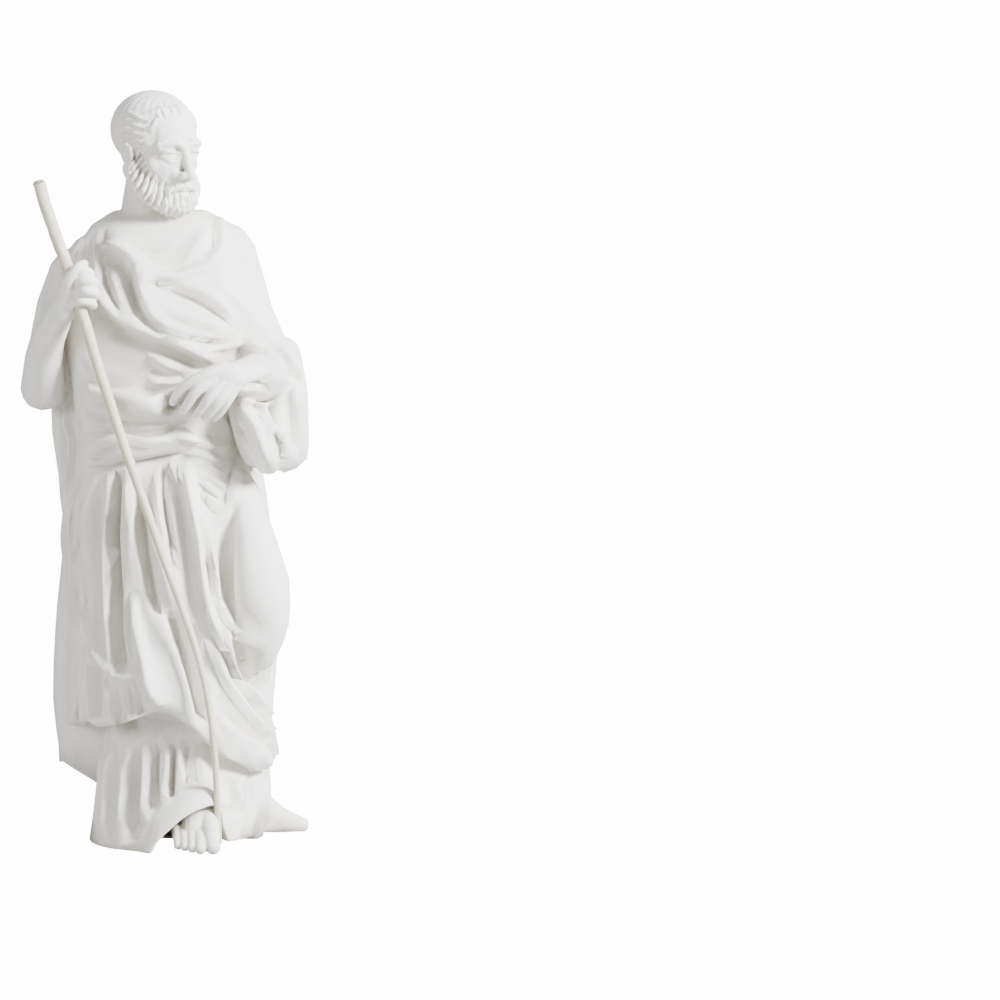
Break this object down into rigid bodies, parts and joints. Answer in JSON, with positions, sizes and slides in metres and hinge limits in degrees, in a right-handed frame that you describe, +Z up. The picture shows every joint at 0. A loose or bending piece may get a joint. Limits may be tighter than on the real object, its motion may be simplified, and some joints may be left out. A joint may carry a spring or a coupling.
{
  "type": "holy family statue, standing figure with staff",
  "caption": "Standing bearded man in a draped cloak holding a slim staff, matte white porcelain statue",
  "frame": {"origin": "middle of the underside, under the middle of the bounding box", "axes": "+Z up the figure, -Y to the side its chest faces, +X to its left"},
  "size_m": [0.096, 0.079, 0.2502],
  "materials": {
    "porcelain": "matte unglazed",
    "staff_wood": "satin"
  },
  "bodies": {
    "root": {"figure": "porcelain", "staff": "staff_wood"}
  },
  "joints": []
}
